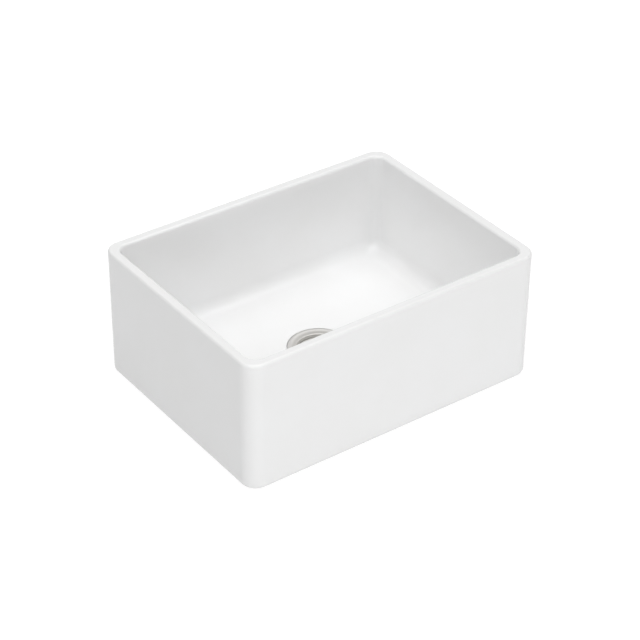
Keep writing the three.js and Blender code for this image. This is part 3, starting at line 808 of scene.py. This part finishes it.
def make_stopper_seal(material):
    """A rubber disc with a crown, a beaded top and two grooves round the underside."""
    radius, bottom, top = span("stopper_seal")
    groove, slope = 0.6, 0.4
    grooves = []
    for inner, outer in ((17.0, 19.0), (20.6, 22.6)):
        grooves.append((inner, bottom, 0.3))
        grooves.append((inner + slope, bottom + groove, 0.3))
        grooves.append((outer - slope, bottom + groove, 0.3))
        grooves.append((outer, bottom, 0.3))
    outline = rounded([
        (TAIL_FIT, bottom, 0.1),
        *grooves,
        (radius - 0.8, bottom, 0.3),
        (radius, bottom + 0.8, 0.6),
        (radius - 0.8, bottom + 2.4, 0.5),
        (20.0, top - 1.3, 1),
        (19.4, top - 1.6, 0.3),
        (18.8, top - 0.95, 0.3),
        (13.8, top, 2),
        (TAIL_FIT, top, 0.1),
    ])
    mesh = from_bmesh("stopper_seal", turned(outline))
    place(add_piece("rubber_seal", mesh, material), "stopper", "stopper_seal", "stopper_rubber")


# -------- material helpers

def new_tree(name):
    material = bpy.data.materials.new(name)
    material.use_nodes = True
    material.node_tree.nodes.clear()
    return material, material.node_tree


def put(tree, kind, inputs=None, **settings):
    """Adds a shader node; an input is a value, or another node's output to link."""
    made = tree.nodes.new("ShaderNode" + kind)
    for key, value in settings.items():
        setattr(made, key, value)
    for key, value in (inputs or {}).items():
        if isinstance(value, bpy.types.NodeSocket):
            tree.links.new(value, made.inputs[key])
        else:
            made.inputs[key].default_value = value
    return made


def finish(tree, colour, roughness, normal, **more):
    """The shader itself, on the material's output."""
    inputs = {"Base Color": colour, "Roughness": roughness, "Normal": normal}
    inputs.update((key.replace("_", " "), value) for key, value in more.items())
    shader = put(tree, "BsdfPrincipled", inputs)
    put(tree, "OutputMaterial", {"Surface": shader.outputs["BSDF"]})


def own_place(tree):
    """A point's place on the piece, in metres."""
    return put(tree, "TexCoord").outputs["Object"]


def turned_place(tree, spread=0.02):
    """A place in which a noise makes rings round the drain's axis; spread is how soon a ring changes."""
    offset = put(tree, "VectorMath", {0: own_place(tree), 1: DRAIN}, operation="SUBTRACT").outputs[0]
    parts = put(tree, "SeparateXYZ", {0: offset})
    flat = put(tree, "VectorMath", {0: offset, 1: (1, 1, 0)}, operation="MULTIPLY").outputs[0]
    radius = put(tree, "VectorMath", {0: flat}, operation="LENGTH").outputs["Value"]
    angle = both(tree, parts.outputs["Y"], parts.outputs["X"], "ARCTAN2")
    around = both(tree, angle, spread * MM, "MULTIPLY")
    return put(tree, "CombineXYZ", {0: radius, 1: around, 2: parts.outputs["Z"]}).outputs[0]


def noise(tree, place, scale, detail=2.0, roughness=0.5, distortion=0.0):
    """A noise in a place, whose features are smaller the larger its scale is."""
    inputs = {
        "Vector": place,
        "Scale": scale,
        "Detail": detail,
        "Roughness": roughness,
        "Distortion": distortion,
    }
    return put(tree, "TexNoise", inputs).outputs["Fac"]


def ramp(tree, value, from_low, from_high, to_low=0.0, to_high=1.0):
    """A value stretched from one range to another, and held at its ends."""
    ends = {"From Min": from_low, "From Max": from_high, "To Min": to_low, "To Max": to_high}
    return put(tree, "MapRange", {"Value": value, **ends}).outputs["Result"]


NOISE_LOW, NOISE_HIGH = 0.3, 0.7  # nearly all of a noise lies between these


def stretch(tree, value, low=0.0, high=1.0):
    """A noise stretched over a whole range."""
    return ramp(tree, value, NOISE_LOW, NOISE_HIGH, low, high)


def blend(tree, share, first, second):
    """A colour between two, by share; the node's inputs go by number, because their names repeat."""
    made = put(tree, "Mix", {0: share, 6: first, 7: second}, data_type="RGBA")
    return made.outputs[2]


def level(tree, share, first, second):
    """A number between two, by share."""
    made = put(tree, "Mix", {0: share, 2: first, 3: second}, data_type="FLOAT")
    return made.outputs[0]


def both(tree, first, second, operation="ADD"):
    """The sum of two numbers, or what else an operation makes of them."""
    return put(tree, "Math", {0: first, 1: second}, operation=operation).outputs[0]


def bump(tree, height, distance, strength, under=None):
    """A normal bent by a height, on top of the one under it."""
    inputs = {"Height": height, "Distance": distance, "Strength": strength}
    if under:
        inputs["Normal"] = under
    return put(tree, "Bump", inputs).outputs["Normal"]


# -------- materials

GLAZE_WARM = (0.925, 0.925, 0.923, 1)
GLAZE_COOL = (0.937, 0.939, 0.941, 1)
GLAZE_MOTTLE = (0.913, 0.912, 0.908, 1)
GLAZE_SPECK = (0.45, 0.40, 0.33, 1)
# the rim's tone where the glaze runs thin, also painted shade on the lit rim edges
THIN_GLAZE_SHADE = (0.81, 0.81, 0.805, 1)
CLAY_DARK = (0.68, 0.62, 0.53, 1)
CLAY_LIGHT = (0.79, 0.74, 0.66, 1)
CLAY_GRAIN = (0.55, 0.49, 0.41, 1)
GLAZE_IOR = 1.57


def glaze_material():
    """White fireclay glaze, thinner and darkened with painted shade on the rim, and bare clay where it is
    wiped off the foot.
    """
    material, tree = new_tree("fireclay_glaze")
    place = own_place(tree)
    broad = noise(tree, place, 7, 2)
    mottle = noise(tree, place, 45, 4, 0.6)
    peel = noise(tree, place, 260, 1)
    grain = noise(tree, place, 1300, 3, 0.7)
    speck = ramp(tree, noise(tree, place, 620, 0), 0.82, 0.86)
    wiped = put(tree, "Attribute", attribute_name="bare").outputs["Fac"]
    ragged = stretch(tree, noise(tree, place, 60, 3), -0.1, 0.1)
    bare = ramp(tree, both(tree, wiped, ragged), 0.78, 0.84)
    # the rim's share of thin glaze and painted shade
    thin = put(tree, "Attribute", attribute_name="thin").outputs["Fac"]

    white = blend(tree, ramp(tree, broad, 0.35, 0.65), GLAZE_WARM, GLAZE_COOL)
    white = blend(tree, stretch(tree, mottle, 0, 0.2), white, GLAZE_MOTTLE)
    # painted shade on the rim, where the glaze also runs thin
    white = blend(tree, both(tree, thin, stretch(tree, mottle, 0.8, 1), "MULTIPLY"), white, THIN_GLAZE_SHADE)
    white = blend(tree, both(tree, speck, 0.14, "MULTIPLY"), white, GLAZE_SPECK)
    clay = blend(tree, stretch(tree, mottle), CLAY_DARK, CLAY_LIGHT)
    clay = blend(tree, ramp(tree, grain, 0.35, 0.7, 0, 0.5), clay, CLAY_GRAIN)
    glossy = both(tree, stretch(tree, broad, 0.13, 0.17), stretch(tree, mottle, 0, 0.03))
    rough = stretch(tree, grain, 0.72, 0.9)

    wavy = bump(tree, broad, 0.0006, 0.35)
    wavy = bump(tree, peel, 0.00003, 0.35, wavy)
    grainy = bump(tree, grain, 0.00022, 0.8)
    normal = put(tree, "Mix", {0: bare, 4: wavy, 5: grainy}, data_type="VECTOR").outputs[1]
    rough = level(tree, bare, glossy, rough)
    finish(tree, blend(tree, bare, white, clay), rough, normal, IOR=GLAZE_IOR)
    return material


STEEL_STAIN = (0.47, 0.45, 0.42, 1)
# painted shade on the drawn dish, and painted light down the shaded throat and cup
DISH_PAINTED_SHADE = (0.42, 0.41, 0.395, 1)
THROAT_PAINTED_LIGHT = (0.68, 0.67, 0.65, 1)
THROAT_LIGHT_FROM = 0.0006  # the depths under the dull dish between which the throat's painted light takes over from the dish's painted shade
THROAT_LIGHT_TO = 0.0012
DRAWN_ROUGHER = 0.28
STEEL_ANISOTROPY = 0.45


def steel_material(name, dark, light, smooth, rough, ring_scale, ring_depth, stain=0.5, dull=None):
    """Turned and polished metal: rings round the axis, with faint water stains and handling marks.

    dull is a pair of heights between which the polish gives way to duller drawn metal, darkened with
    painted shade, which painted light makes lighter again a little further down, in the throat and cup.
    smooth and rough are the ends of the roughness.
    """
    material, tree = new_tree(name)
    place = own_place(tree)
    rings = noise(tree, turned_place(tree), ring_scale, 3, 0.65)
    stains = noise(tree, place, 55, 4, 0.62)
    smear = noise(tree, place, 190, 2, 0.5, 1.5)
    tone = blend(tree, stretch(tree, rings), dark, light)
    tone = blend(tree, ramp(tree, stains, 0.5, 0.75, 0, stain * 0.35), tone, STEEL_STAIN)
    worn = both(tree, stretch(tree, rings, smooth, rough), ramp(tree, stains, 0.35, 0.7, 0, 0.12 * stain))
    worn = both(tree, worn, ramp(tree, smear, 0.4, 0.7, 0, 0.05))
    if dull:
        # the drawn metal is rougher; its colour carries painted shade on the dish and painted light in the
        # throat below
        height = put(tree, "SeparateXYZ", {0: place}).outputs["Z"]
        drawn = both(tree, ramp(tree, height, *dull), ramp(tree, stains, 0.2, 0.8, 0.8, 1), "MULTIPLY")
        throat_painted_light = ramp(tree, height, dull[1] - THROAT_LIGHT_FROM, dull[1] - THROAT_LIGHT_TO)
        tone = blend(tree, drawn, tone, blend(tree, throat_painted_light, DISH_PAINTED_SHADE, THROAT_PAINTED_LIGHT))
        worn = both(tree, worn, both(tree, drawn, DRAWN_ROUGHER, "MULTIPLY"))
    normal = bump(tree, rings, ring_depth, 0.6)
    normal = bump(tree, smear, ring_depth * 1.5, 0.2, normal)
    tangent = put(tree, "Tangent", direction_type="RADIAL", axis="Z").outputs[0]
    finish(tree, tone, worn, normal, Metallic=1.0, Anisotropic=STEEL_ANISOTROPY, Tangent=tangent)
    return material


RUBBER_IOR = 1.52


def rubber_material(name, dark, light, smooth, rough, grain_scale, grain_depth):
    """Moulded rubber with a fine matt skin and a pale bloom in patches."""
    material, tree = new_tree(name)
    place = own_place(tree)
    bloom = noise(tree, place, 85, 5, 0.65, 0.6)
    grain = noise(tree, place, grain_scale, 2, 0.6)
    flow = noise(tree, turned_place(tree, 4), 900, 2)
    tone = blend(tree, ramp(tree, bloom, 0.4, 0.75), dark, light)
    tone = blend(tree, ramp(tree, grain, 0.55, 0.75, 0, 0.4), tone, light)
    normal = bump(tree, grain, grain_depth, 0.7)
    normal = bump(tree, flow, grain_depth, 0.35, normal)
    matt = both(tree, ramp(tree, bloom, 0.35, 0.7, smooth, rough), stretch(tree, grain, 0, 0.08))
    finish(tree, tone, matt, normal, IOR=RUBBER_IOR)
    return material


FOAM_DARK = (0.60, 0.58, 0.53, 1)
FOAM_LIGHT = (0.76, 0.74, 0.69, 1)
FOAM_SOIL = (0.50, 0.47, 0.41, 1)


def foam_material():
    """Closed-cell foam: small cells with thin walls, and a slightly soiled face."""
    material, tree = new_tree("seal_foam")
    place = own_place(tree)
    cells = put(tree, "TexVoronoi", {"Vector": place, "Scale": 1500.0}).outputs["Distance"]
    soil = noise(tree, place, 70, 4)
    tone = blend(tree, ramp(tree, cells, 0.1, 0.6), FOAM_DARK, FOAM_LIGHT)
    tone = blend(tree, ramp(tree, soil, 0.45, 0.75, 0, 0.3), tone, FOAM_SOIL)
    rough = ramp(tree, cells, 0.1, 0.7, 0.95, 0.75)
    finish(tree, tone, rough, bump(tree, cells, 0.0002, 0.7))
    return material


FIBRE_DARK = (0.30, 0.20, 0.11, 1)
FIBRE_LIGHT = (0.50, 0.37, 0.22, 1)
FIBRE_DAMP = (0.24, 0.16, 0.09, 1)
FIBRE_TURN = 1.1  # between the two ways the fibres lie


def fibre_material():
    """Pressed fibre sheet: short crossing fibres, brown in places where it has taken up damp."""
    material, tree = new_tree("fibre")
    place = own_place(tree)
    along = put(tree, "Mapping", {"Vector": place, "Scale": (1, 7, 1)}).outputs[0]
    crossing = {"Vector": place, "Rotation": (0, 0, FIBRE_TURN), "Scale": (7, 1, 1)}
    across = put(tree, "Mapping", crossing).outputs[0]
    strands = both(tree, noise(tree, along, 420, 3, 0.6), noise(tree, across, 420, 3, 0.6))
    damp = noise(tree, place, 60, 4)
    tone = blend(tree, ramp(tree, strands, 0.8, 1.2), FIBRE_DARK, FIBRE_LIGHT)
    tone = blend(tree, ramp(tree, damp, 0.45, 0.7, 0, 0.5), tone, FIBRE_DAMP)
    rough = ramp(tree, strands, 0.8, 1.2, 0.75, 0.95)
    finish(tree, tone, rough, bump(tree, strands, 0.00012, 0.8))
    return material


ZINC = (0.44, 0.45, 0.46, 1)
ZINC_OXIDE = (0.30, 0.305, 0.31, 1)
ZINC_RUBBED = (0.52, 0.53, 0.55, 1)


def zinc_material():
    """Die-cast zinc: a fine cast skin, dull patches of oxide and brighter rubbed places."""
    material, tree = new_tree("cast_zinc")
    place = own_place(tree)
    skin = noise(tree, place, 900, 4, 0.65)
    oxide = noise(tree, place, 95, 5, 0.65, 0.8)
    spangle = put(tree, "TexVoronoi", {"Vector": place, "Scale": 260.0}).outputs["Distance"]
    tone = blend(tree, ramp(tree, oxide, 0.4, 0.7), ZINC, ZINC_OXIDE)
    tone = blend(tree, ramp(tree, spangle, 0.1, 0.8, 0, 0.35), tone, ZINC_RUBBED)
    rough = both(tree, ramp(tree, oxide, 0.35, 0.7, 0.36, 0.58), stretch(tree, skin, 0, 0.1))
    finish(tree, tone, rough, bump(tree, skin, 0.00012, 0.6), Metallic=1.0)
    return material


PLATE_DARK = (0.55, 0.545, 0.53, 1)
PLATE_LIGHT = (0.66, 0.655, 0.64, 1)
WORN_BRASS = (0.62, 0.49, 0.27, 1)


def brass_material():
    """Brass under a thin bright plate: bar marks along it, and brass showing faintly in worn spots."""
    material, tree = new_tree("plated_brass")
    place = own_place(tree)
    drawn = put(tree, "Mapping", {"Vector": place, "Scale": (9, 9, 0.6)}).outputs[0]
    marks = noise(tree, drawn, 330, 3, 0.6)
    wear = noise(tree, place, 120, 5, 0.65, 0.5)
    tone = blend(tree, stretch(tree, marks), PLATE_DARK, PLATE_LIGHT)
    tone = blend(tree, ramp(tree, wear, 0.56, 0.72, 0, 0.6), tone, WORN_BRASS)
    rough = both(tree, stretch(tree, marks, 0.14, 0.26), ramp(tree, wear, 0.5, 0.72, 0, 0.14))
    finish(tree, tone, rough, bump(tree, marks, 0.00003, 0.6), Metallic=1.0)
    return material


PLASTIC_IOR = 1.52


def plastic_material(name, dark, light, smooth, rough, mark_scale):
    """Moulded plastic that lets a little light in, with faint flow rings and scuffs."""
    material, tree = new_tree(name)
    place = own_place(tree)
    flow = noise(tree, turned_place(tree, 2), mark_scale, 2, 0.6)
    scuff = noise(tree, place, 210, 5, 0.7, 1.2)
    tone = blend(tree, stretch(tree, flow), dark, light)
    tone = blend(tree, ramp(tree, scuff, 0.5, 0.8, 0, 0.35), tone, dark)
    normal = bump(tree, flow, 0.00004, 0.4)
    normal = bump(tree, scuff, 0.00003, 0.5, normal)
    worn = ramp(tree, scuff, 0.3, 0.75, smooth, rough)
    finish(
        tree, tone, worn, normal, IOR=PLASTIC_IOR,
        Subsurface_Weight=0.15, Subsurface_Radius=(0.001, 0.001, 0.0008), Subsurface_Scale=1.0)
    return material


# -------- the stage

AMBIENT = 0.345
FLOOR_DARK = (0.64, 0.64, 0.64, 1)
FLOOR_LIGHT = (0.66, 0.66, 0.66, 1)
FLOOR_WHITE = 1.18
FLOOR_SHARE = 0.78  # how much of the near floor the camera sees as plain white
FLOOR_NEAR = 0.45
FLOOR_FAR = 1.3  # beyond this distance from the drain the camera sees plain white only
FLOOR_SIZE = 12.0
FLOOR_DROP = 0.0004


def seen_directly(tree):
    """1 for what the camera sees, also through gloss or glass, and 0 for light that falls on things."""
    path = put(tree, "LightPath")
    seen = both(tree, path.outputs["Is Camera Ray"], path.outputs["Is Glossy Ray"], "MAXIMUM")
    return both(tree, seen, path.outputs["Is Transmission Ray"], "MAXIMUM")


def make_world():
    """An even light, which the camera sees as white."""
    world = bpy.data.worlds.new("studio")
    world.use_nodes = True
    tree = world.node_tree
    tree.nodes.clear()
    ambient = put(tree, "Background", {"Color": (1, 1, 1, 1), "Strength": AMBIENT}).outputs[0]
    white = put(tree, "Background", {"Color": (1, 1, 1, 1), "Strength": 1.0}).outputs[0]
    mix = put(tree, "MixShader", {0: seen_directly(tree), 1: ambient, 2: white})
    put(tree, "OutputWorld", {"Surface": mix.outputs[0]})
    bpy.context.scene.world = world


def floor_material():
    """Matt from above, though the camera sees it mostly as plain white, and clear from below."""
    material, tree = new_tree("floor")
    place = own_place(tree)
    distance = put(tree, "VectorMath", {0: place, 1: DRAIN}, operation="DISTANCE").outputs["Value"]
    plain = ramp(tree, distance, FLOOR_NEAR, FLOOR_FAR, FLOOR_SHARE, 1.0)
    share = both(tree, seen_directly(tree), plain, "MULTIPLY")
    speckle = stretch(tree, noise(tree, place, 40, 3))
    tone = blend(tree, speckle, FLOOR_DARK, FLOOR_LIGHT)
    matt = put(tree, "BsdfDiffuse", {"Color": tone}).outputs[0]
    white = put(tree, "Emission", {"Color": (1, 1, 1, 1), "Strength": FLOOR_WHITE}).outputs[0]
    deck = put(tree, "MixShader", {0: share, 1: matt, 2: white}).outputs[0]
    from_below = put(tree, "NewGeometry").outputs["Backfacing"]
    clear = put(tree, "BsdfTransparent").outputs[0]
    mix = put(tree, "MixShader", {0: from_below, 1: deck, 2: clear})
    put(tree, "OutputMaterial", {"Surface": mix.outputs[0]})
    return material


def make_floor():
    """A wide deck just under the foot, cut out under the recess for the drain, as a support is."""
    opening = plan_loop(FOOT_WIDTH / 2, -FLOOR_DROP, OUTER_CORNER - FOOT_WIDTH / 2)
    rim = round_loop(FLOOR_SIZE, -FLOOR_DROP, opening)
    count = len(opening)
    faces = [(i, i + count, (i + 1) % count + count, (i + 1) % count) for i in range(count)]
    mesh = bpy.data.meshes.new("floor")
    mesh.from_pydata(opening + rim, [], faces)
    mesh.materials.append(floor_material())
    floor = bpy.data.objects.new("floor", mesh)
    bpy.context.collection.objects.link(floor)


SOFTBOX_DISTANCE = 6.0
SOFTBOXES = (  # name, azimuth and elevation in degrees, width and height in metres, power in watts
    ("overhead", 0, 88, 7.0, 7.0, 188),
    ("low_bar", -16, 1, 7.0, 0.5, 105),
    ("camera_side", -38, 62, 9.0, 7.5, 147),
)


def add_softbox(name, azimuth, elevation, width, height, power):
    """A rectangular lamp that faces the middle of the sink."""
    data = bpy.data.lights.new(name, "AREA")
    data.shape = "RECTANGLE"
    data.size = width
    data.size_y = height
    data.energy = power
    lamp = bpy.data.objects.new(name, data)
    back = aim(math.radians(azimuth), math.radians(elevation))
    turn = (-back).to_track_quat("-Z", "Y").to_matrix().to_4x4()
    middle = DRAIN + Vector((0, 0, SINK_TOP / 2))
    lamp.matrix_world = Matrix.Translation(middle + back * SOFTBOX_DISTANCE) @ turn
    bpy.context.collection.objects.link(lamp)


# -------- the scene

make_camera()
make_world()
make_floor()
for softbox in SOFTBOXES:
    add_softbox(*softbox)

flange_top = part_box("strainer_body")[1].z
# the strainer's steel, with painted shade on its dish and painted light down its throat
steel = steel_material(
    "strainer_steel", dark=(0.56, 0.55, 0.535, 1), light=(0.66, 0.65, 0.635, 1), smooth=0.27, rough=0.37,
    ring_scale=3000, ring_depth=0.00003, dull=(flange_top - 0.0003, flange_top - 0.0012))
# lighter than the strainer's steel, as painted light for the basket deep in the shaded cup
basket_steel = steel_material(
    "basket_steel", dark=(0.66, 0.65, 0.635, 1), light=(0.76, 0.75, 0.735, 1), smooth=0.40, rough=0.50,
    ring_scale=2600, ring_depth=0.00003)
post_steel = steel_material(
    "post_steel", dark=(0.56, 0.55, 0.535, 1), light=(0.67, 0.66, 0.645, 1), smooth=0.10, rough=0.19,
    ring_scale=3400, ring_depth=0.00002)
chrome = steel_material(
    "knob_chrome", dark=(0.60, 0.61, 0.615, 1), light=(0.68, 0.69, 0.695, 1), smooth=0.04, rough=0.08,
    ring_scale=2200, ring_depth=0.00001, stain=0.3)
gasket_rubber = rubber_material(
    "gasket_rubber", dark=(0.012, 0.012, 0.012, 1), light=(0.045, 0.045, 0.044, 1), smooth=0.55, rough=0.75,
    grain_scale=900, grain_depth=0.00008)
ring_rubber = rubber_material(
    "ring_rubber", dark=(0.009, 0.009, 0.010, 1), light=(0.022, 0.022, 0.023, 1), smooth=0.32, rough=0.5,
    grain_scale=1400, grain_depth=0.00003)
stopper_rubber = rubber_material(
    "stopper_rubber", dark=(0.014, 0.014, 0.014, 1), light=(0.05, 0.049, 0.047, 1), smooth=0.48, rough=0.68,
    grain_scale=1100, grain_depth=0.00006)
washer_plastic = plastic_material(
    "washer_plastic", dark=(0.70, 0.70, 0.68, 1), light=(0.80, 0.80, 0.79, 1), smooth=0.34, rough=0.5,
    mark_scale=1200)
bush_nylon = plastic_material(
    "bush_nylon", dark=(0.66, 0.63, 0.56, 1), light=(0.76, 0.73, 0.66, 1), smooth=0.4, rough=0.56,
    mark_scale=1500)
brass = brass_material()

make_sink(glaze_material())
make_strainer(steel)
make_star(steel)
make_flange_seal(foam_material())
make_washer(
    "rubber_gasket", "sink_gasket", THREAD_HOLE, 0.4, gasket_rubber, "sink", "gasket_rubber", bulge=True)
make_washer("fibre_washer", "friction_washer", THREAD_HOLE, 0.12, fibre_material(), "sink", "fibre")
make_locknut(zinc_material())
make_washer("slip_washer", "tailpiece_washer", TAIL_HOLE, 0.3, washer_plastic, "sink", "washer_plastic")
make_coupling_nut(brass)
make_basket(basket_steel)
make_bush(bush_nylon)
make_friction_ring(ring_rubber)
make_post(post_steel)
make_knob(chrome)
make_stopper_seal(stopper_rubber)
make_washer("steel_washer", "seal_washer", TAIL_FIT, 0.25, post_steel, "stopper", "post_steel")
make_post_nut(brass)

bpy.context.scene.view_settings.view_transform = "Standard"
